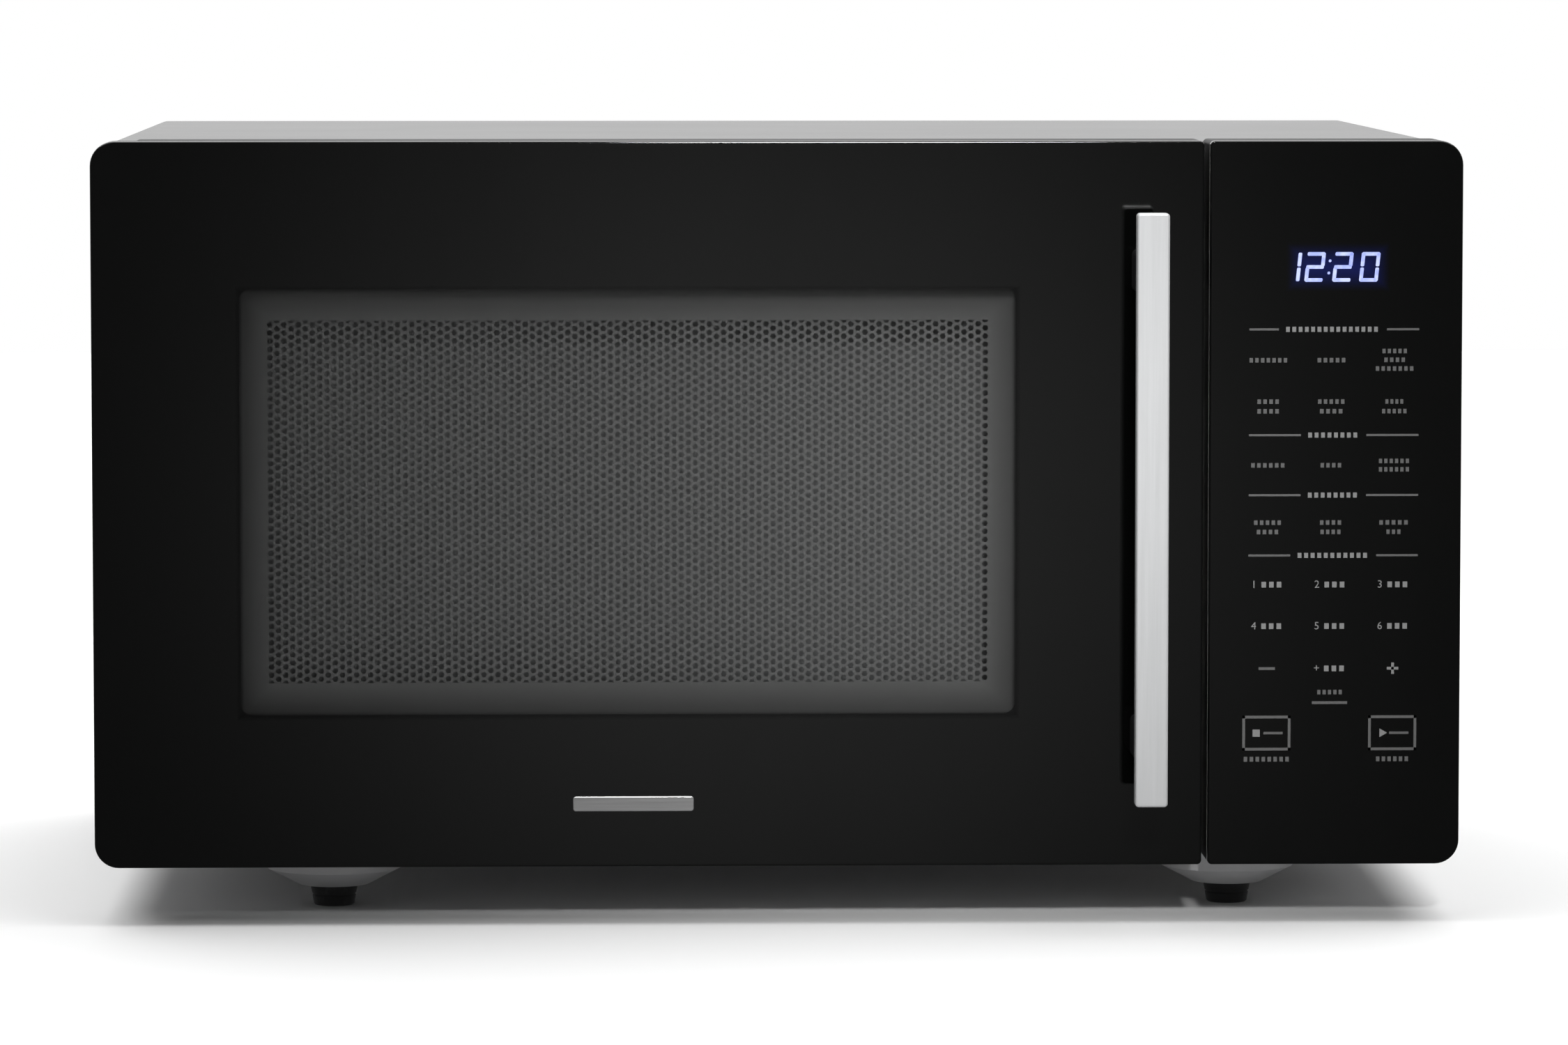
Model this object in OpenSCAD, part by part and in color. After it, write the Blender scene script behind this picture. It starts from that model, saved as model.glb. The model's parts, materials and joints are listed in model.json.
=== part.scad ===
// Counter-top microwave oven with a pull handle, a left-hung door and a touch panel.
// Millimetres. +X right, +Y to the back, +Z up. The worktop is z = 0.

/* [Face] */
// Width of the front face, door and control panel together
face_w = 452; // [446:1:470]
// Height of the front face
face_h = 240; // [238:1:246]
// Height of the face's lower edge above the worktop
face_z = 19.7; // [19:0.1:20.5]
// Corner radius of the face
face_r = 8; // [4:1:10]
// Width of the control panel
panel_w = 83.6; // [82:0.2:88]
// Gap between the door and the control panel
seam = 2; // [1.5:0.1:3]

/* [Case] */
// Depth of the steel case behind the door
case_d = 304; // [302:1:320]
// Height of the pressed fields that stand proud of the rear panel
rear_relief = 6; // [5:0.5:8]
// Sheet thickness of the case, the cavity and the brackets
sheet = 1; // [0.8:0.1:1.2]
// Distance of the left feet from the middle of the oven
foot_left = 149; // [140:1:155]
// Distance of the right feet from the middle of the oven
foot_right = 154; // [140:1:155]
// Distance of the feet from the front and rear edges of the case
foot_inset = 26; // [26:1:40]

/* [Door] */
// Thickness of the door and of the control panel
door_t = 30; // [30:1:34]
// Gap between the closed door and the case
door_gap = 2; // [2:0.1:3]
// Thickness of the front glass
glass_t = 3.8; // [3.2:0.1:4]
// Width of the door's window
window_w = 256.4; // [240:0.2:260]
// Height of the door's window
window_h = 141.2; // [130:0.2:146]
// Distance from the door's left edge to the hinge axis
hinge_in = 9; // [9:0.5:9.5]
// Distance from the door's back to the hinge axis
hinge_fwd = 11; // [11:0.5:12]

/* [Handle] */
// How far the handle stands out from the glass
handle_reach = 36; // [30:1:40]
// Width of the handle bar
handle_w = 10.6; // [9:0.1:12]
// Length of the handle bar
handle_l = 194; // [180:1:200]
// Depth of the handle bar
handle_d = 8; // [6:1:12]

/* [Cavity] */
// Width inside the cavity
cavity_w = 315; // [300:1:316]
// Height inside the cavity
cavity_h = 202; // [195:1:203]
// Depth inside the cavity
cavity_d = 292; // [286:1:293]

/* [Turntable] */
// Radius of the glass tray
tray_r = 127.5; // [120:0.5:130]
// Radius of the circle that the rollers run on
track_r = 95; // [88:1:96]
// Radius of one roller
roller_r = 8; // [7:0.1:9]
// Radius of the motor's shaft
shaft_r = 3.5; // [3:0.1:4]

/* [Fan] */
// Radius of the cooling fan
fan_r = 43; // [38:1:44]

/* [Hidden] */
$fn = 64;
running = 0.05;
clear = 0.3;
slip = 0.2;

depth = handle_reach + door_t + door_gap + case_d + rear_relief;
y_handle = -depth / 2;
y_face = y_handle + handle_reach;
y_glass = y_face + glass_t;
y_door = y_face + door_t;
y_case = y_door + door_gap;
y_rear = y_case + case_d;

x_left = -face_w / 2;
x_right = face_w / 2;
x_panel = x_right - panel_w;
x_door = x_panel - seam;
z_face = face_z + face_h;
z_base = face_z + 1;
z_top = z_face - 1;
z_floor = z_base + sheet;

// Inside faces of the case
case_x = x_right - 1 - sheet;
case_z = z_top - sheet;

// Cavity, a steel box behind the door
cav_x0 = x_left + 19;
cav_x1 = cav_x0 + cavity_w;
cav_z0 = z_base + 22.5;
cav_z1 = cav_z0 + cavity_h;
cav_y0 = y_case + sheet;
cav_y1 = cav_y0 + cavity_d;
cav_r = 10;
bay_x = cav_x1 + sheet;

// Turntable stack, from the pressed floor up
tt_x = (cav_x0 + cav_x1) / 2;
tt_y = (cav_y0 + cav_y1) / 2;
tt_floor = cav_z0 - 3;
recess_r = track_r + 14;
roller_z = tt_floor + clear + roller_r;
tray_z = roller_z + roller_r + clear;
motor_top = tt_floor - sheet - slip;
motor_h = 15.8;

// Window in the middle of the cavity's width
win_x0 = tt_x - window_w / 2;
win_x1 = tt_x + window_w / 2;
win_z0 = face_z + 50.1;
win_z1 = win_z0 + window_h;

// Hinge axis and the stile that carries it
hinge_x = x_left + hinge_in;
hinge_y = y_door - hinge_fwd;
stile_w = 18;
arm_t = 2;
leaf_t = 1.4;
pin_r = 2.5;
pin_l = 14;
bush_r = 4;
leaf_h = 38;
leaf_screws = [12, 30];
arm_hi = z_face - 11;
arm_lo = face_z + 11;

// Handle and latch
handle_x = x_door - 19.5;
handle_z = face_z + face_h / 2 + 0.4;
post_dz = 77;
post_hole_r = 2.5;
latch_x = handle_x + 4;
latch_z = [face_z + 44, face_z + 174];
slot_w = 12;
slot_h = 27;

// Electrical bay, right of the cavity
magnetron_y = tt_y + 4;
magnetron_z = face_z + 141;
fan_x = (bay_x + case_x) / 2;
fan_z = face_z + 155;
shroud_y = y_rear - 56;

// A box between two corners, given as ranges along each axis
module block(x, y, z) {
    translate([x[0], y[0], z[0]]) cube([x[1] - x[0], y[1] - y[0], z[1] - z[0]]);
}

// A round bar along X, Y or Z that starts at a point
module bar_x(p, r, l) translate(p) rotate([0, 90, 0]) cylinder(h = l, r = r);
module bar_y(p, r, l) translate(p) rotate([-90, 0, 0]) cylinder(h = l, r = r);
module bar_z(p, r, l) translate(p) cylinder(h = l, r = r);

// A rectangle with its own corner radius on the left and on the right
module outline(x, z, rl, rr) {
    big = max(rl, rr);
    translate([x[0] + rl, z[0]]) square([x[1] - x[0] - rl - rr, z[1] - z[0]]);
    translate([x[0], z[0] + big]) square([x[1] - x[0], z[1] - z[0] - 2 * big]);
    translate([x[0], z[0] + rl]) square([rl + 1, z[1] - z[0] - 2 * rl]);
    translate([x[1] - rr - 1, z[0] + rr]) square([rr + 1, z[1] - z[0] - 2 * rr]);
    for (zc = [z[0], z[1]]) {
        s = zc == z[0] ? 1 : -1;
        translate([x[0] + rl, zc + s * rl]) circle(rl);
        translate([x[1] - rr, zc + s * rr]) circle(rr);
    }
}

// The same rectangle as a plate that lies between two depths
module plate(x, z, y, rl = 2, rr = 2) {
    translate([0, y[1], 0]) rotate([90, 0, 0]) linear_extrude(y[1] - y[0]) outline(x, z, rl, rr);
}

// A field of slots cut through a wall: steps along two axes from a first corner
module slots(start, size, step1, n1, step2, n2) {
    for (i = [0 : n1 - 1], j = [0 : n2 - 1])
        translate(start + i * step1 + j * step2) cube(size);
}

// A pan-head screw: the underside of its head is at p, and its shank points along +Z before the turn
module screw(p, turn, shank_r, l, head_r, head_h) {
    translate(p) rotate(turn) {
        cylinder(h = l, r = shank_r);
        translate([0, 0, -head_h]) cylinder(h = head_h, r = head_r);
    }
}

// A round tube swept along a list of points, with flat ends
function unit(v) = v / norm(v);
function heading(p, i) = unit(p[min(i + 1, len(p) - 1)] - p[max(i - 1, 0)]);
function across(t) = unit(cross(t, abs(t[2]) > 0.9 ? [1, 0, 0] : [0, 0, 1]));
module swept(p, r, sides) {
    rings = [for (i = [0 : len(p) - 1]) let (t = heading(p, i), u = across(t), v = cross(t, u))
        for (k = [0 : sides - 1]) p[i] + r * (u * cos(360 * k / sides) + v * sin(360 * k / sides))];
    walls = [for (i = [0 : len(p) - 2], k = [0 : sides - 1], half = [0, 1])
        let (n = (k + 1) % sides, a = i * sides, b = (i + 1) * sides)
            half == 0 ? [a + k, a + n, b + n] : [a + k, b + n, b + k]];
    ends = [[for (k = [sides - 1 : -1 : 0]) k],
        [for (k = [0 : sides - 1]) (len(p) - 1) * sides + k]];
    polyhedron(rings, concat(walls, ends));
}

// ---- Case ----

foot_x = [-foot_left, foot_right];
foot_y = [y_case + foot_inset, y_rear - foot_inset];
boss_z = 7.2;
boss_r = 24.5;

// One pressed boss under the base, as a profile turned about its foot
module boss(x, y) {
    translate([x, y, 0]) rotate_extrude() polygon([[3.2, boss_z], [12, boss_z], [22.5, boss_z + 5.5],
        [boss_r, z_base], [boss_r, z_floor], [boss_r - 1.2, z_floor], [21.6, boss_z + 6.4],
        [11.6, boss_z + sheet], [3.2, boss_z + sheet]]);
}

module base_plate() color([0.3, 0.3, 0.31]) {
    inner = case_x - slip;
    lip_h = 9;
    difference() {
        block([-inner, inner], [y_case + sheet + slip, y_panel], [z_base, z_floor]);
        for (x = foot_x, y = foot_y) bar_z([x, y, z_base - 1], boss_r - 0.6, 4);
        slots([bay_x + 12, y_case + 60, z_base - 1], [70, 3, 4], [0, 7, 0], 8, [0, 0, 0], 1);
        slots([tt_x - 60, tt_y + 46, z_base - 1], [3, 34, 4], [7, 0, 0], 18, [0, 0, 0], 1);
    }
    for (x = foot_x, y = foot_y) boss(x, y);
    for (s = [-1, 1])
        block([s > 0 ? inner - sheet : -inner, s > 0 ? inner : -inner + sheet],
            [y_case + 8, y_rear - 8], [z_floor, z_floor + lip_h]);
}

sole_r = 7;
module foot(x, y) {
    translate([x, y, 0]) {
        cylinder(h = boss_z, r1 = sole_r, r2 = sole_r + 1.1);
        cylinder(h = boss_z + 2, r = 3);
        translate([0, 0, boss_z + sheet + slip]) cylinder(h = 2, r1 = 4.4, r2 = 2.6);
    }
}
module front_feet() color([0.08, 0.08, 0.08]) for (x = foot_x) foot(x, foot_y[0]);
module rear_feet() color([0.08, 0.08, 0.08]) for (x = foot_x) foot(x, foot_y[1]);

wrap_r = 6;
inner_r = wrap_r - sheet;
flange_w = 12;
// Case screws: up both sides of the rear flange, and along its top
screw_z = [40, 140, 240];
screw_x = case_x - flange_w / 2 + sheet;
top_screw_x = [-90, 90];
top_screw_z = case_z - flange_w / 2;
screw_hole_r = 1.7;
// One louvre slot in the case's sides, and the steps from slot to slot
louvre = [4, 2.6, 24];
louvre_step = [0, 6.5, 0];
louvre_row = [0, 0, 34];

// The case seen from the front: open at the bottom, with rounded top corners
module wrap_profile(x, z, r, low = z_base) {
    translate([-x, low]) square([2 * x, z - r - low]);
    translate([-x + r, low]) square([2 * x - 2 * r, z - low]);
    for (s = [-1, 1]) translate([s * (x - r), z - r]) circle(r);
}

module case_wrapper() color([0.12, 0.12, 0.12]) difference() {
    union() {
        translate([0, y_rear, 0]) rotate([90, 0, 0]) linear_extrude(case_d) difference() {
            wrap_profile(case_x + sheet, z_top, wrap_r);
            wrap_profile(case_x, case_z, inner_r, z_base - 1);
        }
        translate([0, y_rear, 0]) rotate([90, 0, 0]) linear_extrude(sheet) difference() {
            wrap_profile(case_x + sheet - 0.1, z_top - 0.1, wrap_r);
            wrap_profile(case_x - flange_w, case_z - flange_w, wrap_r, z_base - 1);
        }
    }
    slots([case_x - 1, y_case + 44, z_base + 32], louvre, louvre_step, 13, louvre_row, 2);
    slots([case_x - 1, y_rear - 92, z_base + 128], louvre, louvre_step, 10, louvre_row, 2);
    slots([-case_x - 3, y_rear - 110, z_base + 160], louvre, louvre_step, 13, louvre_row, 2);
    for (s = [-1, 1], z = screw_z) bar_y([s * screw_x, y_rear - 3, z], screw_hole_r, 6);
    for (x = top_screw_x) bar_y([x, y_rear - 3, top_screw_z], screw_hole_r, 6);
}

module case_screws() color([0.55, 0.55, 0.56]) {
    for (s = [-1, 1], z = screw_z) screw([s * screw_x, y_rear, z], [90, 0, 0], 1.5, 6, 3.4, 1.8);
    for (x = top_screw_x) screw([x, y_rear, top_screw_z], [90, 0, 0], 1.5, 6, 3.4, 1.8);
}

field_x = [bay_x + 6, case_x - 20];
field_z = [fan_z - 52, fan_z + 52];
spacer_x = -192;
spacer_z = [70, 200];
cord_x = 150;
cord_z = 62;
gland_r = 8;
// Front of the rear panel, just inside the case's rear flange
y_panel = y_rear - sheet - slip - sheet;

module rear_panel() color([0.12, 0.12, 0.12]) {
    y0 = y_panel;
    spacer_l = y_rear + rear_relief - y0;
    difference() {
        union() {
            plate([-case_x + slip, case_x - slip], [z_floor + slip, case_z - slip], [y0, y0 + sheet],
                inner_r, inner_r);
            plate(field_x, field_z, [y0, y_rear + rear_relief], 10, 10);
            for (z = spacer_z) translate([spacer_x, y0, z]) rotate([-90, 0, 0])
                cylinder(h = spacer_l, r1 = 16, r2 = 12);
        }
        plate([field_x[0] + sheet, field_x[1] - sheet], [field_z[0] + sheet, field_z[1] - sheet],
            [y0 - 1, y_rear + rear_relief - sheet], 9, 9);
        for (z = spacer_z) translate([spacer_x, y0 - 1, z]) rotate([-90, 0, 0])
            cylinder(h = spacer_l, r1 = 15, r2 = 11);
        slots([field_x[0] + 9, y_rear, field_z[0] + 12], [3, 20, 34], [6.1, 0, 0], 12,
            [0, 0, 44], 2);
        slots([cav_x0 + 40, y0 - 1, 150], [24, 4, 3], [0, 0, 7], 9, [32, 0, 0], 2);
        bar_y([cord_x, y0 - 1, cord_z], gland_r + 0.1, 4);
        for (s = [-1, 1], z = screw_z) bar_y([s * screw_x, y0 - 1, z], screw_hole_r - 0.1, 4);
        for (x = top_screw_x) bar_y([x, y0 - 1, top_screw_z], screw_hole_r - 0.1, 4);
    }
}

module cord_gland() color([0.06, 0.06, 0.06]) difference() {
    union() {
        bar_y([cord_x, y_rear - 10, cord_z], gland_r, 11);
        bar_y([cord_x, y_rear - 1.2 + 0.1, cord_z], gland_r + 3, 5);
        bar_y([cord_x, y_rear - 8, cord_z], gland_r + 1.6, 5.6);
    }
    bar_y([cord_x, y_rear - 12, cord_z], 3.9, 20);
}

// ---- Cavity ----

module cavity_front() color([0.62, 0.62, 0.6]) difference() {
    plate([-case_x + slip, case_x - slip], [z_floor + slip, case_z - slip], [y_case, y_case + sheet],
        inner_r, inner_r);
    plate([cav_x0, cav_x1], [cav_z0, cav_z1], [y_case - 1, y_case + 3], cav_r, cav_r);
    plate([x_panel + 8, x_right - 12], [face_z + 30, z_face - 20], [y_case - 1, y_case + 3], 3, 3);
    for (z = latch_z)
        block([latch_x - 8.5, latch_x + 8.5], [y_case - 1, y_case + 3], [z - 3.5, z + slot_h + 1.5]);
    for (z = hinge_screw_z) bar_y([hinge_screw_x, y_case - 1, z], 1.7, 4);
}

module cavity_box() color([0.72, 0.72, 0.7]) difference() {
    union() {
        plate([cav_x0 - sheet, bay_x], [cav_z0 - sheet, cav_z1 + sheet],
            [cav_y0, cav_y1 + sheet], cav_r + sheet, cav_r + sheet);
        bar_z([tt_x, tt_y, tt_floor - sheet], recess_r + sheet, 3);
    }
    plate([cav_x0, cav_x1], [cav_z0, cav_z1], [cav_y0 - 1, cav_y1], cav_r, cav_r);
    bar_z([tt_x, tt_y, tt_floor], recess_r, 6);
    bar_z([tt_x, tt_y, tt_floor - 3], 9.5, 6);
    block([cav_x1 - 1, bay_x + 1], [magnetron_y - 34, magnetron_y + 34],
        [magnetron_z - 24, magnetron_z + 24]);
    for (i = [-1.5 : 1.5], j = [-1.5 : 1.5])
        bar_x([cav_x1 - 1, lamp_y + 7 * i, lamp_z + 7 * j], 2.2, 4);
    for (i = [0 : 4], j = [0 : 4])
        bar_x([cav_x0 - 3, cav_y1 - 62 + 8 * i, cav_z1 - 60 + 8 * j], 2.4, 5);
}

module waveguide_cover() color([0.78, 0.74, 0.62]) {
    block([cav_x1 - 1.1, cav_x1 - 0.2], [magnetron_y - 46, magnetron_y + 46],
        [magnetron_z - 34, magnetron_z + 34]);
}

lamp_y = y_case + 70;
lamp_z = cav_z1 - 31;
module oven_lamp() color([0.9, 0.88, 0.8]) translate([bay_x + 2, lamp_y, lamp_z]) rotate([0, 90, 0])
    rotate_extrude() polygon([[0, 0], [4, 1], [6.5, 4], [7, 7], [6, 11], [5, 13], [5, 24], [0, 24]]);
module lamp_holder() color([0.86, 0.84, 0.78]) difference() {
    union() {
        block([bay_x, bay_x + 1.6], [lamp_y - 20, lamp_y + 20], [lamp_z - 17, lamp_z + 17]);
        block([bay_x + 1, bay_x + 30], [lamp_y - 11, lamp_y + 11], [lamp_z - 11, lamp_z + 11]);
    }
    block([bay_x - 1, bay_x + 20], [lamp_y - 8.5, lamp_y + 8.5], [lamp_z - 8.5, lamp_z + 8.5]);
    bar_x([bay_x + 15, lamp_y, lamp_z], 5.1, 12);
}

// ---- Door ----

frame_front = y_glass + 2.5;
pan_x0 = x_left + stile_w + 0.4;
pan_x1 = x_door - 4.3;
pan_z0 = face_z + 4.3;
pan_z1 = z_face - 4.3;
pan_y = frame_front + slip;
tube = 9;
cover_t = 2.3;
cover_y = y_door - cover_t;
hinge_screw_z = [for (dz = leaf_screws) each [arm_lo + dz, arm_hi - dz]];
hinge_screw_x = hinge_x + 1.5;

module door_glass() color([0.03, 0.03, 0.03, 0.8]) difference() {
    plate([x_left, x_door], [face_z, z_face], [y_face, y_glass], face_r, 1.5);
    for (s = [-1, 1]) bar_y([handle_x, y_face - 1, handle_z + s * post_dz], post_hole_r, 6);
}

// The space that a fixed hinge arm sweeps in the door's stile as the door turns
module hinge_notch(z) {
    block([x_left - 1, hinge_x + 5.7], [hinge_y - 8.2, y_door + 1], z);
}

module door_frame() color([0.05, 0.05, 0.05]) difference() {
    plate([x_left, x_door], [face_z, z_face], [y_glass, y_door], face_r, 1.5);
    plate([x_left + stile_w, x_door - 4], [face_z + 4, z_face - 4], [frame_front, y_door + 1], 1.5, 1.5);
    plate([win_x0, win_x1], [win_z0, win_z1], [y_glass - 1, frame_front + 1], 4, 4);
    hinge_notch([arm_hi - 0.6, z_face + 1]);
    hinge_notch([face_z - 1, arm_lo + 0.6]);
    bar_z([hinge_x, hinge_y, arm_hi - 16], bush_r, 17);
    bar_z([hinge_x, hinge_y, arm_lo - 1], bush_r, 17);
    for (s = [-1, 1]) bar_y([handle_x, y_glass - 1, handle_z + s * post_dz], post_hole_r, 6);
    // Rounded back edge that clears the case as the door turns
    difference() {
        block([x_left - 1, hinge_x], [hinge_y, y_door + 1], [face_z - 1, z_face + 1]);
        bar_z([hinge_x, hinge_y, face_z - 2], hinge_fwd + slip, face_h + 4);
    }
}

module door_pan() color([0.3, 0.3, 0.31]) {
    tx = [win_x0 - tube, win_x1 + tube];
    tz = [win_z0 - tube, win_z1 + tube];
    difference() {
        plate([pan_x0, pan_x1], [pan_z0, pan_z1], [pan_y, cover_y - slip - 1], 1.5, 1.5);
        plate([pan_x0 + sheet, pan_x1 - sheet], [pan_z0 + sheet, pan_z1 - sheet],
            [pan_y + sheet, y_door], 1.5, 1.5);
        plate(tx, tz, [pan_y - 1, pan_y + 3], 3, 3);
        for (s = [-1, 1]) bar_y([handle_x, pan_y - 1, handle_z + s * post_dz], 5, 4);
    }
    difference() {
        plate([tx[0] - sheet, tx[1] + sheet], [tz[0] - sheet, tz[1] + sheet],
            [pan_y, cover_y - slip - 1.6], 4, 4);
        plate(tx, tz, [pan_y - 1, y_door], 3, 3);
    }
}

module door_screen() color([0.2, 0.2, 0.2]) {
    plate([win_x0 - tube + slip, win_x1 + tube - slip], [win_z0 - tube + slip, win_z1 + tube - slip],
        [pan_y + 0.4, pan_y + 1.2], 2.8, 2.8);
}

module door_inner_panel() color([0.75, 0.8, 0.82, 0.4]) {
    plate([win_x0 - tube + slip, win_x1 + tube - slip], [win_z0 - tube + slip, win_z1 + tube - slip],
        [cover_y - slip - 1.5, cover_y - slip], 2.8, 2.8);
}

module choke_cover() color([0.09, 0.09, 0.09]) difference() {
    plate([pan_x0, pan_x1], [pan_z0, pan_z1], [cover_y, y_door], 1.5, 1.5);
    plate([win_x0, win_x1], [win_z0, win_z1], [cover_y - 1, y_door + 1], 6, 6);
    for (z = latch_z)
        block([latch_x - slot_w / 2, latch_x + slot_w / 2], [cover_y - 1, y_door + 1],
            [z - 1, z + slot_h - 1]);
}

module handle_bar() color([0.8, 0.81, 0.82]) {
    plate([handle_x - handle_w / 2, handle_x + handle_w / 2],
        [handle_z - handle_l / 2, handle_z + handle_l / 2], [y_handle, y_handle + handle_d], 1.2, 1.2);
}

module handle_posts() color([0.08, 0.08, 0.08]) for (s = [-1, 1]) difference() {
    z = handle_z + s * post_dz;
    plate([handle_x - 4.4, handle_x + 4.4], [z - 7, z + 7], [y_handle + handle_d, y_face], 2, 2);
    bar_y([handle_x, y_face - 16, z], 2, 20);
}

module handle_screws() color([0.6, 0.6, 0.62]) for (s = [-1, 1])
    screw([handle_x, frame_front, handle_z + s * post_dz], [90, 0, 0], 2, frame_front - y_face + 15,
        3.8, 2.6);

module door_badge() color([0.75, 0.76, 0.77]) {
    plate([tt_x - 18.5, tt_x + 21.5], [face_z + 18.4, face_z + 23.4], [y_face - 0.6, y_face], 1, 1);
}

module latch_hooks() color([0.85, 0.85, 0.82]) {
    y0 = pan_y + 9;
    bar = [latch_x - 2.5, latch_x + 2.5];
    block([latch_x - 4, latch_x + 4], [y0, y0 + 3], [latch_z[0] - 6, latch_z[1] + 26]);
    for (z = latch_z) {
        block(bar, [y0 + 3, y_case + 15], [z + 6, z + 16]);
        block(bar, [y_case + 8, y_case + 15], [z + 1, z + 6.1]);
    }
}

spring_r = 3;
spring_turns = 6;
spring_z = [pan_z0 + sheet + 0.2, latch_z[0] - 6.2];
module latch_spring() color([0.7, 0.7, 0.7]) {
    n = spring_turns * 10;
    swept([for (i = [0 : n]) [latch_x + spring_r * cos(36 * i), pan_y + 10.5 + spring_r * sin(36 * i),
        spring_z[0] + 0.5 + i / n * (spring_z[1] - spring_z[0] - 1)]], 0.4, 6);
}

module hinge_bushes() color([0.9, 0.9, 0.88]) for (z = [arm_hi - 15.8, arm_lo + 0.7]) difference() {
    bar_z([hinge_x, hinge_y, z], bush_r, 15.1);
    bar_z([hinge_x, hinge_y, z - 1], pin_r + running, 18);
}

// One hinge bracket: a leaf on the case front, an arm and its riveted pin
module hinge(z, way) {
    leaf_z = way < 0 ? [z - leaf_h, z + arm_t] : [z - arm_t, z + leaf_h];
    arm_z = way < 0 ? [z, z + arm_t] : [z - arm_t, z];
    difference() {
        block([hinge_x - 5, hinge_x + 8], [y_case - leaf_t, y_case], leaf_z);
        for (dz = leaf_screws) bar_y([hinge_screw_x, y_case - 3, z + way * dz], 2.9, 6);
    }
    block([hinge_x - 5, hinge_x + 5], [hinge_y, y_case], arm_z);
    bar_z([hinge_x, hinge_y, arm_z[0]], 5, arm_t);
    bar_z([hinge_x, hinge_y, way < 0 ? z - pin_l : z - 0.1], pin_r, pin_l + 0.1);
}
module hinge_upper() color([0.6, 0.6, 0.6]) hinge(arm_hi, -1);
module hinge_lower() color([0.6, 0.6, 0.6]) hinge(arm_lo, 1);

module hinge_screws() color([0.5, 0.5, 0.5]) for (z = hinge_screw_z) {
    bar_y([hinge_screw_x, y_case - leaf_t + 0.1, z], 2.8, leaf_t - 0.2);
    bar_y([hinge_screw_x, y_case - 0.2, z], 1.5, 5);
}

// ---- Control panel ----

module control_glass() color([0.03, 0.03, 0.03, 0.85]) {
    plate([x_panel, x_right], [face_z, z_face], [y_face, y_glass], 1.5, face_r);
}

board_y = y_glass + 12;
module control_housing() color([0.05, 0.05, 0.05]) {
    difference() {
        plate([x_panel, x_right], [face_z, z_face], [y_glass, y_door], 1.5, face_r);
        plate([x_panel + 3, x_right - 3], [face_z + 3, z_face - 3], [frame_front, y_door + 1], 1.5, 5);
        plate([x_panel + 10, x_right - 12], [face_z + 26, z_face - 22], [y_glass - 1, frame_front + 1]);
    }
    difference() {
        plate([x_panel + 3, x_right - 5], [face_z + 14, z_face - 6], [y_door - 2, y_door]);
        plate([x_panel + 9, x_right - 13], [face_z + 31, z_face - 21], [y_door - 3, y_door + 1]);
    }
    for (x = [x_panel + 8, x_right - 10], z = [face_z + 60, z_face - 40])
        bar_y([x, frame_front - 0.1, z], 3, board_y - frame_front + 0.1);
    for (z = [face_z + 24, z_face - 13])
        block([x_panel + 30, x_panel + 50], [y_door - 0.1, y_case], [z - 5, z + 5]);
}

module display_module() color([0.15, 0.17, 0.2]) {
    block([x_panel + 20, x_right - 18], [y_glass + 0.2, board_y - 0.2], [z_face - 54, z_face - 26]);
}

module control_board() color([0.1, 0.35, 0.2]) {
    block([x_panel + 9.5, x_right - 13.5], [board_y, board_y + 1.6], [face_z + 42, z_face - 23]);
}
module control_transformer() color([0.3, 0.3, 0.32]) {
    block([x_panel + 18, x_panel + 50], [board_y + 1.6, board_y + 26], [face_z + 60, face_z + 88]);
    block([x_panel + 22, x_panel + 46], [board_y + 1.6, board_y + 23], [face_z + 55, face_z + 93]);
}
module relays() color([0.85, 0.85, 0.82]) for (i = [0 : 1])
    block([x_panel + 16 + 22 * i, x_panel + 34 + 22 * i], [board_y + 1.6, board_y + 18],
        [face_z + 100, face_z + 129]);
module buzzer() color([0.06, 0.06, 0.06]) difference() {
    bar_y([x_panel + 24, board_y + 1.6, face_z + 150], 8, 9);
    bar_y([x_panel + 24, board_y + 6, face_z + 150], 1.2, 6);
}

// ---- Turntable ----

lug_r = 11.4;
lug_w = 4.8;
tray_t = 4.2;
// How far the motor's shaft reaches above the cavity's floor
shaft_up = 11;
module glass_tray() color([0.8, 0.86, 0.88, 0.4]) {
    translate([tt_x, tt_y, 0]) {
        rotate_extrude($fn = 96) polygon([[0, tray_z], [tray_r - 16, tray_z], [tray_r - 4, tray_z + 6.5],
            [tray_r, tray_z + 10], [tray_r, tray_z + 12.4], [tray_r - 2, tray_z + 13],
            [tray_r - 4, tray_z + 11.6], [tray_r - 17, tray_z + tray_t], [0, tray_z + tray_t]]);
        rotate_extrude() translate([12, tray_z - 3]) square([3.5, 3.1]);
        for (a = [60, 180, 300]) rotate(a)
            translate([6.4, -1.5, tray_z - 3]) cube([6, 3, 3.1]);
    }
}

module drive_coupler() color([0.92, 0.92, 0.9]) translate([tt_x, tt_y, 0]) difference() {
    union() {
        translate([0, 0, tt_floor + 0.6]) cylinder(h = tray_z - 4.2 - tt_floor, r = 7.4);
        for (a = [0, 120, 240]) rotate(a)
            translate([0, -lug_w / 2, tray_z - 9]) cube([lug_r, lug_w, 9 - clear]);
        translate([0, 0, tray_z - 9]) cylinder(h = 9 - clear, r = 5.6);
    }
    translate([0, 0, tt_floor]) cylinder(h = shaft_up, r = shaft_r);
}

module motor_shaft() color([0.7, 0.7, 0.72]) {
    bar_z([tt_x, tt_y, motor_top - 8], shaft_r, tt_floor + shaft_up - motor_top + 8);
}

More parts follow.
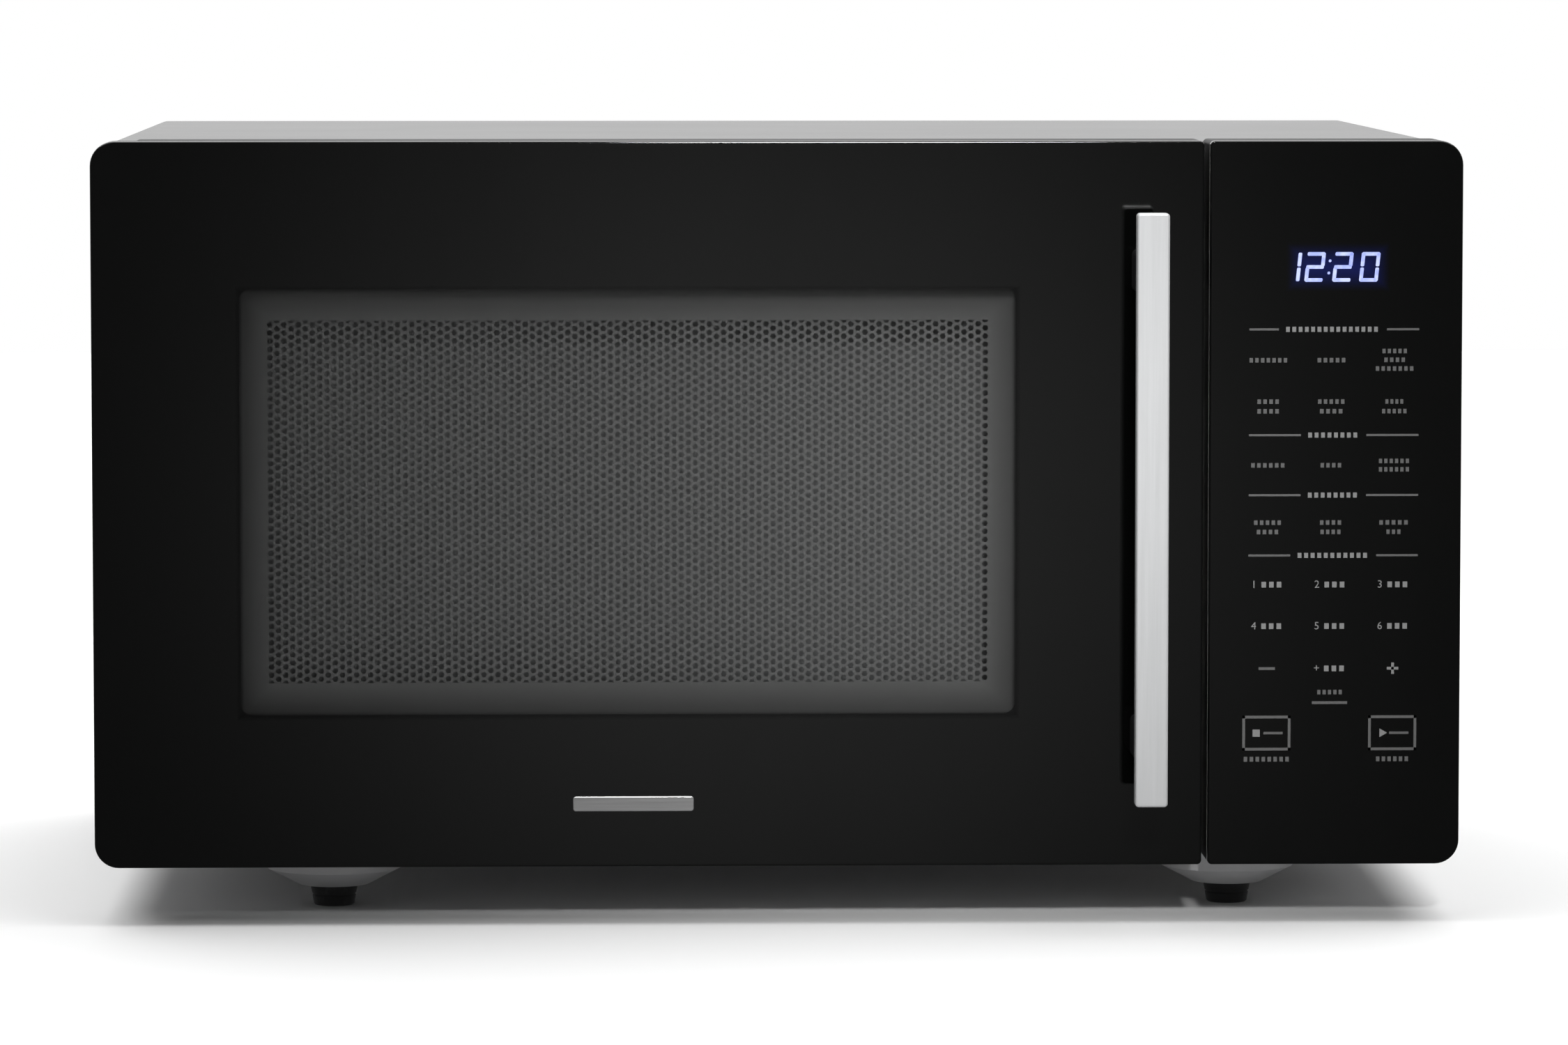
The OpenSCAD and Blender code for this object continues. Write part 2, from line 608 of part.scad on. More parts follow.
ear_x = 29;
module turntable_motor() color([0.75, 0.76, 0.76]) difference() {
    union() {
        bar_z([tt_x, tt_y, motor_top - motor_h], 24.5, motor_h);
        block([tt_x - 33, tt_x + 33], [tt_y - 6, tt_y + 6], [motor_top - sheet, motor_top]);
        block([tt_x - 9, tt_x + 9], [tt_y - 32, tt_y], [motor_top - motor_h + 2, motor_top - 4]);
    }
    bar_z([tt_x, tt_y, motor_top - 8.5], shaft_r + running, 10);
    for (s = [-1, 1]) bar_z([tt_x + s * ear_x, tt_y, motor_top - 3], 1.7, 5);
}

module motor_screws() color([0.5, 0.5, 0.5]) for (s = [-1, 1])
    screw([tt_x + s * ear_x, tt_y, motor_top - sheet], [0, 0, 0], 1.5, 1.1, 3, 1.8);

// A hoop with three stub axles that point outwards
axle_r = 2;
module roller_ring() color([0.9, 0.9, 0.9]) translate([tt_x, tt_y, 0]) {
    rotate_extrude($fn = 96) translate([track_r - 13, roller_z - 2.6]) square([6, 5.2]);
    for (a = [90, 210, 330]) rotate(a) {
        bar_x([track_r - 8, 0, roller_z], 3.6, 4.6);
        bar_x([track_r - 8, 0, roller_z], axle_r, 14);
        bar_x([track_r + 3.6, 0, roller_z], 3, 2.4);
    }
}

roller_w = 6;
module roller(a) translate([tt_x, tt_y, 0]) rotate(a) translate([track_r - roller_w / 2, 0, roller_z])
    rotate([0, 90, 0]) difference() {
        union() {
            cylinder(h = roller_w, r = roller_r - 1);
            translate([0, 0, 1]) cylinder(h = roller_w - 2, r = roller_r);
        }
        translate([0, 0, -1]) cylinder(h = roller_w + 2, r = axle_r + running);
    }
module roller_1() color([0.2, 0.2, 0.2]) roller(90);
module roller_2() color([0.2, 0.2, 0.2]) roller(210);
module roller_3() color([0.2, 0.2, 0.2]) roller(330);

// ---- Electrical bay ----

guide_x = bay_x + 36;
module waveguide() color([0.7, 0.7, 0.68]) difference() {
    block([bay_x, guide_x], [magnetron_y - 48, magnetron_y + 48],
        [magnetron_z - 40, magnetron_z + 40]);
    block([bay_x - 1, guide_x - sheet], [magnetron_y - 47, magnetron_y + 47],
        [magnetron_z - 39, magnetron_z + 39]);
    bar_x([guide_x - 3, magnetron_y, magnetron_z], 12, 6);
}

module magnetron() color([0.6, 0.58, 0.55]) {
    y = [magnetron_y - 40, magnetron_y + 40];
    z = [magnetron_z - 34, magnetron_z + 34];
    x0 = guide_x + 0.2;
    bar_x([x0 - 22, magnetron_y, magnetron_z], 8, 24);
    block([x0, x0 + 2], y, z);
    for (zs = [z[0], z[1] - 2]) block([x0, x0 + 50], y, [zs, zs + 2]);
    bar_x([x0, magnetron_y, magnetron_z], 19, 50);
    for (i = [0 : 4]) block([x0 + 12 + 6 * i, x0 + 13 + 6 * i], [y[0] + 6, y[1] - 6], z);
    block([x0 + 48, x0 + 50], y, z);
    block([x0 + 50, case_x - 4], [y[0] + 12, y[1] - 12], [z[0] + 5, z[1] - 5]);
}

trafo_y = y_case + 84;
module hv_transformer() color([0.35, 0.3, 0.25]) {
    block([bay_x + 14, case_x - 12], [trafo_y - 28, trafo_y + 28], [z_floor + 4, z_floor + 76]);
    block([bay_x + 26, case_x - 24], [trafo_y - 46, trafo_y + 46], [z_floor + 16, z_floor + 64]);
    block([bay_x + 10, case_x - 8], [trafo_y - 34, trafo_y + 34], [z_floor, z_floor + 4]);
}

cap_y = tt_y + 40;
cap_z = z_floor + 22;
module can_profile(r, half) {
    for (s = [-1, 1]) translate([0, s * half]) circle(r);
    translate([-r, -half]) square([2 * r, 2 * half]);
}
module hv_capacitor() color([0.75, 0.76, 0.75]) {
    translate([bay_x + 14, cap_y, cap_z]) rotate([90, 0, 90]) linear_extrude(82) rotate(90)
        can_profile(15, 9);
    for (s = [-1, 1]) block([bay_x + 96, bay_x + 104], [cap_y + s * 10 - 3, cap_y + s * 10 + 3],
        [cap_z - 0.4, cap_z + 0.4]);
}
module capacitor_clamp() color([0.65, 0.65, 0.64]) {
    translate([bay_x + 44, cap_y, cap_z]) rotate([90, 0, 90]) linear_extrude(14) difference() {
        rotate(90) can_profile(16.2, 9);
        rotate(90) can_profile(15.2, 9);
    }
    block([bay_x + 44, bay_x + 58], [cap_y + 24.6, cap_y + 38], [z_floor, z_floor + 1.2]);
    block([bay_x + 44, bay_x + 58], [cap_y + 24.6, cap_y + 26.2], [z_floor, cap_z]);
}
module hv_diode() color([0.1, 0.1, 0.1]) {
    bar_y([bay_x + 60, cap_y - 14, cap_z + 19], 3.2, 20);
    bar_y([bay_x + 60, cap_y - 20, cap_z + 19], 0.6, 32);
}

module fan_shroud() color([0.12, 0.12, 0.12]) difference() {
    block([bay_x + 3, case_x - 8], [shroud_y, shroud_y + 24], [fan_z - 50, fan_z + 50]);
    bar_y([fan_x, shroud_y + 2, fan_z], fan_r + 2, 30);
    bar_y([fan_x, shroud_y - 1, fan_z], fan_r - 2, 10);
}
fan_y = shroud_y + 6;
module fan_blade() color([0.85, 0.85, 0.85]) {
    bar_y([fan_x, fan_y, fan_z], 12, 16);
    for (i = [0 : 4]) translate([fan_x, fan_y + 8, fan_z]) rotate([0, 72 * i, 0])
        translate([11, 0, 0]) rotate([38, 0, 0]) translate([0, -1, -9])
            cube([fan_r - 13.5, 1.6, 18]);
    bar_y([fan_x, fan_y, fan_z], 1.95, 28);
}
module fan_motor() color([0.55, 0.53, 0.5]) difference() {
    union() {
        block([fan_x - 26, fan_x + 26], [fan_y + 19, fan_y + 35], [fan_z - 18, fan_z + 18]);
        block([fan_x - 22, fan_x + 22], [fan_y + 21, fan_y + 33], [fan_z - 34, fan_z - 17]);
        bar_y([fan_x, fan_y + 17, fan_z], 9, 20);
        for (s = [-1, 1])
            block([fan_x + s * 36 - 12, fan_x + s * 36 + 12], [fan_y + 24, fan_y + 26],
                [fan_z - 5, fan_z + 5]);
        for (s = [-1, 1])
            block([fan_x + s * 47 - 1, fan_x + s * 47 + 1], [shroud_y + 24, fan_y + 26],
                [fan_z - 5, fan_z + 5]);
    }
    bar_y([fan_x, fan_y + 16, fan_z], 2, 14);
}

module air_duct() color([0.8, 0.78, 0.7]) {
    y = [magnetron_y + 50, shroud_y - 0.2];
    for (z = [fan_z - 46, fan_z + 44.5]) block([guide_x + 2, case_x - 10], y, [z, z + 1.5]);
    block([guide_x + 2, guide_x + 3.5], y, [fan_z - 46, fan_z + 46]);
}

module noise_filter() color([0.15, 0.4, 0.25]) {
    y = [y_rear - 62, y_rear - 16];
    block([bay_x + 20, case_x - 16], y, [z_floor + 12, z_floor + 13.6]);
    for (x = [bay_x + 24, case_x - 20], yy = [y[0] + 4, y[1] - 4])
        bar_z([x, yy, z_floor], 2.6, 12.1);
    bar_z([bay_x + 44, y[0] + 20, z_floor + 13.5], 12, 15);
    block([bay_x + 62, bay_x + 68], [y[0] + 8, y[0] + 34], [z_floor + 13.5, z_floor + 26]);
    bar_y([bay_x + 80, y[0] + 8, z_floor + 16.5], 3, 24);
}

module thermal_cutout() color([0.8, 0.75, 0.6]) {
    bar_z([tt_x + 60, tt_y, cav_z1 + sheet], 8, 6);
    block([tt_x + 57, tt_x + 63], [tt_y - 14, tt_y + 14], [cav_z1 + sheet + 5, cav_z1 + sheet + 6.5]);
}

// A bracket behind the latch slots, which holds three switches and their lever
hold_x = [latch_x - 12.5, latch_x + 14];
hold_y = [y_case + sheet + 0.2, y_case + 32];
lever_z = latch_z[0] + 35;
module switch_holder() color([0.9, 0.9, 0.85]) difference() {
    block(hold_x, hold_y, [latch_z[0] - 14, latch_z[1] + 36]);
    block([hold_x[0] + 3, hold_x[1] - 3], [hold_y[0] - 1, hold_y[1] - 3],
        [latch_z[0] - 5, latch_z[1] + slot_h + 4]);
    block([hold_x[0] + 3, hold_x[1] - 3], [hold_y[1] - 4, hold_y[1] + 1],
        [latch_z[0] + 6, latch_z[1] + 18]);
    bar_x([hold_x[0] - 1, y_case + 10, lever_z], 2 + running, hold_x[1] - hold_x[0] + 2);
}
switch_z = [latch_z[0] + 7, latch_z[0] + 66, latch_z[1] - 3];
module microswitches() color([0.15, 0.15, 0.16]) for (z = switch_z) {
    block([hold_x[0] + 3, hold_x[1] - 3], [y_case + 20.3, y_case + 36], [z, z + 20]);
    for (s = [-1, 0, 1]) block([latch_x + 6 * s - 0.4, latch_x + 6 * s + 0.4],
        [y_case + 35.9, y_case + 43], [z + 7, z + 13]);
}
module interlock_lever() color([0.9, 0.6, 0.2]) {
    bar_x([hold_x[0] + 0.4, y_case + 10, lever_z], 2, hold_x[1] - hold_x[0] - 0.8);
    block([latch_x - 2.5, latch_x + 2.5], [y_case + 8.4, y_case + 11.6], [lever_z, lever_z + 44]);
    block([latch_x - 2.5, latch_x + 2.5], [y_case + 11.5, y_case + 19.5],
        [lever_z + 38, lever_z + 44]);
}

// High-voltage leads, from the transformer to the capacitor and up to the magnetron
lead_up = [[190, 10.4, 60], [190, 13, 61.5], [191, 16, 70], [195, 18, 90], [201, 20, 112], [205, 20, 131.4]];
lead_along = [[176, 10.4, 70], [178, 16, 74], [188, 28, 74], [202, 40, 66], [208, 52, 54], [209, 56, 44.6]];
module hv_leads() color([0.7, 0.12, 0.1]) {
    swept(lead_up, 1.6, 8);
    swept(lead_along, 1.6, 8);
}

case_wrapper();
base_plate();
rear_panel();
front_feet();
rear_feet();
case_screws();
cord_gland();
cavity_front();
cavity_box();
waveguide_cover();
oven_lamp();
lamp_holder();
door_glass();
door_frame();
door_pan();
door_screen();
door_inner_panel();
choke_cover();
handle_bar();
handle_posts();
handle_screws();
door_badge();
latch_hooks();
latch_spring();
hinge_bushes();
hinge_upper();
hinge_lower();
hinge_screws();
control_housing();
control_glass();
display_module();
control_board();
control_transformer();
relays();
buzzer();
glass_tray();
roller_ring();
roller_1();
roller_2();
roller_3();
drive_coupler();
motor_shaft();
turntable_motor();
motor_screws();
magnetron();
waveguide();
hv_transformer();
hv_capacitor();
capacitor_clamp();
hv_diode();
fan_motor();
fan_blade();
fan_shroud();
air_duct();
noise_filter();
thermal_cutout();
switch_holder();
microswitches();
interlock_lever();
hv_leads();
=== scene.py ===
"""Looks of a counter-top microwave oven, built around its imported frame.

Metres, +Z up, the door faces -Y. Sizes come from the frame; the rest are named here.
"""
import math

import bpy
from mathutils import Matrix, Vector
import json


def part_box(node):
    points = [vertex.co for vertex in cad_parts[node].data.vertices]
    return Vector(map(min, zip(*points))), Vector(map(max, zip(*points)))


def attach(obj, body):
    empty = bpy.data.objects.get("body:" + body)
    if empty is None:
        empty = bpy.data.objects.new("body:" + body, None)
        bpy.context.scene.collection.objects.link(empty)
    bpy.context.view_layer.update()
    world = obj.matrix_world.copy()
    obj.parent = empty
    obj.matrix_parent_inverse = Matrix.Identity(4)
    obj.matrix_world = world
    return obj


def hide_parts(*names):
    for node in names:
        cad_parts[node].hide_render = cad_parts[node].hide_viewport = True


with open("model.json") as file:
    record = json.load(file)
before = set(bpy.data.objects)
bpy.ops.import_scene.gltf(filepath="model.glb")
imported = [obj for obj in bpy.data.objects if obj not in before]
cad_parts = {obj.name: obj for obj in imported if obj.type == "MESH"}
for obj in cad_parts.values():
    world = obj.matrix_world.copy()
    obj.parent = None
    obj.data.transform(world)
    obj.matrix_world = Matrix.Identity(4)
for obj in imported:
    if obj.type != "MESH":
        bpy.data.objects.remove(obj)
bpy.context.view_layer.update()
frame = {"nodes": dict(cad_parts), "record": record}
MM = 0.001


# ---------------------------------------------------------------- shader maths

class Value:
    """A number that varies over a surface, usable in plain arithmetic."""

    def __init__(self, finish, socket):
        self.finish = finish
        self.socket = socket

    def maths(self, operation, *others):
        return self.finish.node("ShaderNodeMath", {"operation": operation}, (self, *others))

    def __add__(self, other):
        return self.maths("ADD", other)

    def __sub__(self, other):
        return self.maths("SUBTRACT", other)

    def __mul__(self, other):
        return self.maths("MULTIPLY", other)

    def __radd__(self, other):
        return self + other

    def __rmul__(self, other):
        return self * other

    def __rsub__(self, other):
        return self.finish.node("ShaderNodeMath", {"operation": "SUBTRACT"}, (other, self))

    def __abs__(self):
        return self.maths("ABSOLUTE")

    def at_least(self, other):
        return self.maths("MAXIMUM", other)

    def step(self, low, high):
        """0 below low, 1 above high, smooth between."""
        ranges = {"From Min": low, "From Max": high, "Value": self}
        return self.finish.node("ShaderNodeMapRange", {"interpolation_type": "SMOOTHSTEP"}, ranges)


class Finish:
    """A material under construction: a Principled shader and the nodes that feed it."""

    def __init__(self, name, colour, roughness, metallic=0.0, **fixed):
        self.material = bpy.data.materials.new(name)
        self.material.use_nodes = True
        self.tree = self.material.node_tree
        self.shader = self.tree.nodes["Principled BSDF"]
        self.put("Base Color", (*colour, 1.0))
        self.put("Roughness", roughness)
        self.put("Metallic", metallic)
        for socket, value in fixed.items():
            self.put(socket.replace("_", " "), value)

    def put(self, socket, value):
        self.shader.inputs[socket].default_value = value

    def node(self, kind, settings=None, inputs=(), out=0):
        """Adds a node with its settings and inputs, and gives one of its outputs."""
        made = self.tree.nodes.new(kind)
        for key, value in (settings or {}).items():
            setattr(made, key, value)
        pairs = inputs.items() if isinstance(inputs, dict) else enumerate(inputs)
        for key, value in pairs:
            if isinstance(value, Value):
                self.tree.links.new(value.socket, made.inputs[key])
            else:
                made.inputs[key].default_value = value
        return Value(self, made.outputs[out])

    def place(self):
        """Object coordinates as three numbers, in metres."""
        whole = self.node("ShaderNodeTexCoord", out="Object")
        return [self.node("ShaderNodeSeparateXYZ", inputs=(whole,), out=k) for k in range(3)]

    def noise(self, scale, detail=2.0, rough=0.5, stretch=(1, 1, 1)):
        whole = self.node("ShaderNodeTexCoord", out="Object")
        mapped = self.node("ShaderNodeMapping", inputs={"Vector": whole, "Scale": stretch})
        ins = {"Vector": mapped, "Scale": scale, "Detail": detail, "Roughness": rough}
        return self.node("ShaderNodeTexNoise", inputs=ins)

    def blend(self, factor, first, second):
        """One colour fading into another."""
        colours = {0: factor, 6: (*first, 1.0), 7: (*second, 1.0)}
        return self.node("ShaderNodeMix", {"data_type": "RGBA"}, colours, out=2)

    def feed(self, socket, value):
        self.tree.links.new(value.socket, self.shader.inputs[socket])
        return self

    def bump(self, height, distance, strength=1.0):
        ins = {"Strength": strength, "Distance": distance, "Height": height}
        return self.feed("Normal", self.node("ShaderNodeBump", inputs=ins))


# ---------------------------------------------------------------- finishes

def moulded(name, colour, roughness, grain=0.02, scale=2600, **fixed):
    """Moulded plastic: fine spark-eroded grain and a slow drift in gloss."""
    finish = Finish(name, colour, roughness, **fixed)
    drift = finish.noise(18, 3)
    finish.feed("Roughness", roughness - 0.05 + drift * 0.1)
    return finish.bump(finish.noise(scale, 2), grain * MM, 0.7)


def powder_coat(name, colour, roughness):
    """Baked powder paint with its orange peel and a few duller patches."""
    finish = Finish(name, colour, roughness, Coat_Weight=0.25, Coat_Roughness=0.12)
    patch = finish.noise(9, 4)
    finish.feed("Roughness", roughness - 0.04 + patch * 0.1)
    peel = finish.noise(520, 2) + 0.5 * finish.noise(1500, 2)
    return finish.bump(peel, 0.012 * MM, 0.6)


def enamel(name, colour, roughness):
    """Fired enamel: glassy, with a faint speckle and soft waves."""
    finish = Finish(name, colour, roughness, Coat_Weight=0.3, Coat_Roughness=0.15)
    speck = finish.noise(900, 1).step(0.62, 0.7)
    darker = tuple(0.82 * c for c in colour)
    finish.feed("Base Color", finish.blend(speck * 0.5, colour, darker))
    return finish.bump(finish.noise(60, 2), 0.03 * MM, 0.5)


def brushed(name, colour, roughness, along, metallic=1.0):
    """Brushed metal with its lines drawn out along one axis."""
    stretch = tuple(0.02 if k == along else 1.0 for k in range(3))
    finish = Finish(name, colour, roughness, metallic)
    lines = finish.noise(1400, 3, 0.6, stretch)
    finish.feed("Roughness", roughness - 0.06 + lines * 0.12)
    light = tuple(min(1.0, 1.06 * c) for c in colour)
    dark = tuple(0.9 * c for c in colour)
    finish.feed("Base Color", finish.blend(lines, dark, light))
    return finish.bump(lines, 0.01 * MM, 0.5)


def galvanised(name, colour, roughness=0.42):
    """Zinc-coated sheet with its crystal spangle."""
    finish = Finish(name, colour, roughness, 1.0)
    whole = finish.node("ShaderNodeTexCoord", out="Object")
    grain = finish.node("ShaderNodeTexVoronoi", inputs={"Vector": whole, "Scale": 160.0})
    dark = tuple(0.8 * c for c in colour)
    finish.feed("Base Color", finish.blend(grain, colour, dark))
    finish.feed("Roughness", roughness - 0.08 + grain * 0.2)
    return finish


def rubber(name, colour, roughness=0.75):
    """Matt rubber with a little dust."""
    finish = Finish(name, colour, roughness)
    dust = finish.noise(240, 3).step(0.55, 0.8)
    grey = tuple(c + 0.02 for c in colour)
    finish.feed("Base Color", finish.blend(dust, colour, grey))
    return finish.bump(finish.noise(1700, 2), 0.02 * MM, 0.6)


def clear_glass(name, tint, alpha, roughness=0.03):
    """Clear toughened glass, with faint wipe marks in its gloss."""
    finish = Finish(name, tint, roughness, Alpha=alpha)
    return finish.feed("Roughness", roughness + finish.noise(30, 3).step(0.5, 0.8) * 0.05)


# ---------------------------------------------------------------- mesh work

def lay_down():
    """Deselects everything."""
    bpy.ops.object.select_all(action="DESELECT")


def take(piece):
    """Makes one piece the only selected and the active one."""
    lay_down()
    piece.select_set(True)
    bpy.context.view_layer.objects.active = piece
    return piece


def settle(piece):
    """Puts a piece's place, turn and size into its mesh."""
    take(piece)
    bpy.ops.object.transform_apply(location=True, rotation=True, scale=True)
    return piece


def open_mesh(piece, chosen="DESELECT"):
    """Opens a piece in edit mode with nothing, or all of it, selected."""
    take(piece)
    bpy.ops.object.mode_set(mode="EDIT")
    bpy.ops.mesh.select_mode(type="FACE")
    bpy.ops.mesh.select_all(action=chosen)


def close_mesh():
    bpy.ops.object.mode_set(mode="OBJECT")


def pick_edges(piece, wanted):
    """Opens a piece with the edges selected whose two ends pass the test."""
    open_mesh(piece)
    bpy.ops.mesh.select_mode(type="EDGE")
    close_mesh()
    points = piece.data.vertices
    for edge in piece.data.edges:
        edge.select = wanted(*(points[k].co for k in edge.vertices))
    bpy.ops.object.mode_set(mode="EDIT")


def pick_faces(piece, wanted):
    """Opens a piece with the faces selected whose middle and normal pass the test."""
    open_mesh(piece)
    close_mesh()
    for face in piece.data.polygons:
        face.select = wanted(face.center, face.normal)
    bpy.ops.object.mode_set(mode="EDIT")


def modify(piece, kind, **settings):
    """Adds a modifier and applies it."""
    take(piece)
    made = piece.modifiers.new(kind.lower(), kind)
    for key, value in settings.items():
        setattr(made, key, value)
    bpy.ops.object.modifier_apply(modifier=made.name)
    return piece


def repeat(piece, count, step):
    """A row of a piece at an even step, in one mesh."""
    return modify(piece, "ARRAY", count=count, use_relative_offset=False,
                  use_constant_offset=True, constant_offset_displace=step)


def shade(piece, angle=40):
    """Smooth shading, but for edges sharper than the angle."""
    take(piece)
    bpy.ops.object.shade_smooth_by_angle(angle=math.radians(angle))
    return piece


def soften(piece, width, segments=3, angle=40):
    """Rounds the sharp edges and shades the piece smooth between them."""
    modify(piece, "BEVEL", width=width, segments=segments, limit_method="ANGLE",
           angle_limit=math.radians(angle))
    shade(piece, angle)
    return modify(piece, "WEIGHTED_NORMAL", keep_sharp=True)


def outward(piece):
    """Turns every face outwards."""
    open_mesh(piece, "SELECT")
    bpy.ops.mesh.normals_make_consistent(inside=False)
    close_mesh()
    return piece


def dress(piece, finish, body, instead_of=()):
    """Gives a piece its material, its body and what it stands for."""
    piece.data.materials.clear()
    piece.data.materials.append(finish.material)
    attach(piece, body)
    if instead_of:
        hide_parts(*instead_of)
    return piece


def cube(name, low, high):
    """A box between two corners."""
    lay_down()
    low, high = Vector(low), Vector(high)
    bpy.ops.mesh.primitive_cube_add(size=1, location=(low + high) / 2)
    piece = bpy.context.active_object
    piece.name = name
    piece.scale = high - low
    return settle(piece)


def plate(name, low, high, left_r, right_r, edge):
    """An upright plate with its corners rounded in the XZ plane and its rims softened."""
    piece = cube(name, low, high)
    for side, radius in ((low[0], left_r), (high[0], right_r)):
        pick_edges(piece, lambda a, b: abs(a.x - side) < 1e-5 and abs(b.x - side) < 1e-5
                   and abs(a.z - b.z) < 1e-5)
        bpy.ops.mesh.bevel(offset=radius, segments=10, affect="EDGES")
        close_mesh()
    return soften(piece, edge)


def turned(name, centre, profile, sides=64):
    """A solid of revolution about Z: a disc pushed up and widened step by step."""
    lay_down()
    radius, height = profile[0]
    centre = Vector(centre)
    bpy.ops.mesh.primitive_circle_add(vertices=sides, radius=radius, fill_type="NGON",
                                      location=centre + Vector((0, 0, height)))
    piece = settle(bpy.context.active_object)
    piece.name = name
    open_mesh(piece, "SELECT")
    for wider, higher in profile[1:]:
        rise = {"value": (0, 0, higher - height)}
        bpy.ops.mesh.extrude_region_move(TRANSFORM_OT_translate=rise)
        bpy.ops.transform.resize(value=(wider / radius, wider / radius, 1), center_override=centre)
        radius, height = wider, higher
    close_mesh()
    return outward(piece)


def join(name, pieces):
    """Several pieces as one mesh."""
    lay_down()
    for piece in pieces:
        piece.select_set(True)
    bpy.context.view_layer.objects.active = pieces[0]
    if len(pieces) > 1:
        bpy.ops.object.join()
    pieces[0].name = name
    return settle(pieces[0])


def copied(piece, move, turn=(0, 0, 0)):
    """A copy with its own mesh, turned about the origin and then moved."""
    take(piece)
    bpy.ops.object.duplicate()
    twin = bpy.context.active_object
    twin.rotation_euler = turn
    twin.location = move
    return settle(twin)


# ---------------------------------------------------------------- places

door_low, door_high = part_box("door_glass")
panel_low, panel_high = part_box("control_glass")
bar_low, bar_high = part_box("handle_bar")
screen_low, screen_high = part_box("door_screen")
tray_low, tray_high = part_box("glass_tray")
coupler_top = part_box("drive_coupler")[1].z
Y_FACE = door_low[1]
BASE_Z = door_low[2]
PANEL_X = (panel_low[0] + panel_high[0]) / 2 - 1.5 * MM

# The screen reaches past the clear window by this much on every side
SCREEN_LAP = 8.8 * MM
WINDOW_X = (screen_low[0] + SCREEN_LAP, screen_high[0] - SCREEN_LAP)
WINDOW_Z = (screen_low[2] + SCREEN_LAP, screen_high[2] - SCREEN_LAP)


# ---------------------------------------------------------------- door and panel fronts

# Corner radii of the front glass at the oven's outer edge and at the seam, and its softened rim
OUTER_R = 8 * MM
SEAM_R = 1.5 * MM
RIM = 0.6 * MM


def inside(finish, x_range, z_range, soft):
    """1 inside a rectangle of the face and 0 outside it, with soft borders."""
    x, _, z = finish.place()
    across = abs(x - sum(x_range) / 2) - (x_range[1] - x_range[0]) / 2
    up = abs(z - sum(z_range) / 2) - (z_range[1] - z_range[0]) / 2
    return 1 - across.at_least(up).step(-soft, soft)


def black_glass(name):
    """Black printed glass: polished, with faint smears that only its gloss shows."""
    finish = Finish(name, (0.001, 0.0011, 0.001), 0.06, IOR=1.5)
    smear = finish.noise(14, 4, 0.6, (1, 1, 0.4)).step(0.45, 0.75)
    return finish.feed("Roughness", 0.05 + smear * 0.06)


def shrunk(span, margin):
    """A span drawn in at both ends."""
    return span[0] + margin, span[1] - margin


def door_front():
    """The glass is printed black round the window, and the print thins out towards its middle."""
    piece = plate("door_front_glass", door_low, door_high, OUTER_R, SEAM_R, RIM)
    finish = black_glass("door_glass_black")
    opening = inside(finish, WINDOW_X, WINDOW_Z, 1.6 * MM)
    fade = 8 * MM
    clear = inside(finish, shrunk(WINDOW_X, fade), shrunk(WINDOW_Z, fade), fade)
    finish.feed("Alpha", 1 - opening * (0.66 + 0.14 * clear))
    return dress(piece, finish, "door", ["door_glass"])


def panel_front():
    """Black glass with a painted glow round the lit digits."""
    piece = plate("panel_front_glass", panel_low, panel_high, SEAM_R, OUTER_R, RIM)
    finish = black_glass("panel_glass_black")
    # Painted glow: the glass is given a blue emission round the digits, standing in for their light
    # spreading.
    painted_glow = inside(finish, (CLOCK_X - 13 * MM, CLOCK_X + 13 * MM),
                  shrunk((CLOCK_Z, CLOCK_Z + DIGIT_H), 1 * MM), 4.5 * MM)
    finish.feed("Emission Color", finish.blend(painted_glow, (0, 0, 0), (0.004, 0.008, 0.075)))
    finish.put("Emission Strength", 1.0)
    return dress(piece, finish, "oven", ["control_glass"])


# ---------------------------------------------------------------- clock

CLOCK_X = PANEL_X + 2.1 * MM
CLOCK_Z = BASE_Z + 193.5 * MM
DIGIT_W = 6.2 * MM
DIGIT_H = 9.8 * MM
STROKE = 1.2 * MM
LEAN = 0.1
# Print and digits stand a hair proud of the glass
PRINT_Y = (Y_FACE - 0.06 * MM, Y_FACE + 0.02 * MM)
SEGMENTS = {"0": "abcdef", "1": "bc", "2": "abged"}


def leaning_bar(x, z, width, height):
    """One lit bar, whose top leans to the right with the digits."""
    start = x + LEAN * (z - CLOCK_Z)
    piece = cube("bar", (start, PRINT_Y[0], z), (start + width, PRINT_Y[1], z + height))
    pick_faces(piece, lambda middle, normal: normal.z > 0.9)
    bpy.ops.transform.translate(value=(LEAN * height, 0, 0))
    close_mesh()
    return piece


def segment(letter, left):
    """One bar of a seven-segment digit whose left edge is given."""
    gap = 0.2 * MM
    half = DIGIT_H / 2
    levels = {"a": CLOCK_Z + DIGIT_H - STROKE, "g": CLOCK_Z + half - STROKE / 2, "d": CLOCK_Z}
    uprights = {"f": (left, half), "b": (left + DIGIT_W - STROKE, half),
                "e": (left, 0), "c": (left + DIGIT_W - STROKE, 0)}
    if letter in levels:
        return leaning_bar(left + gap, levels[letter], DIGIT_W - 2 * gap, STROKE)
    x, rise = uprights[letter]
    return leaning_bar(x, CLOCK_Z + rise + gap, STROKE, half - 2 * gap)


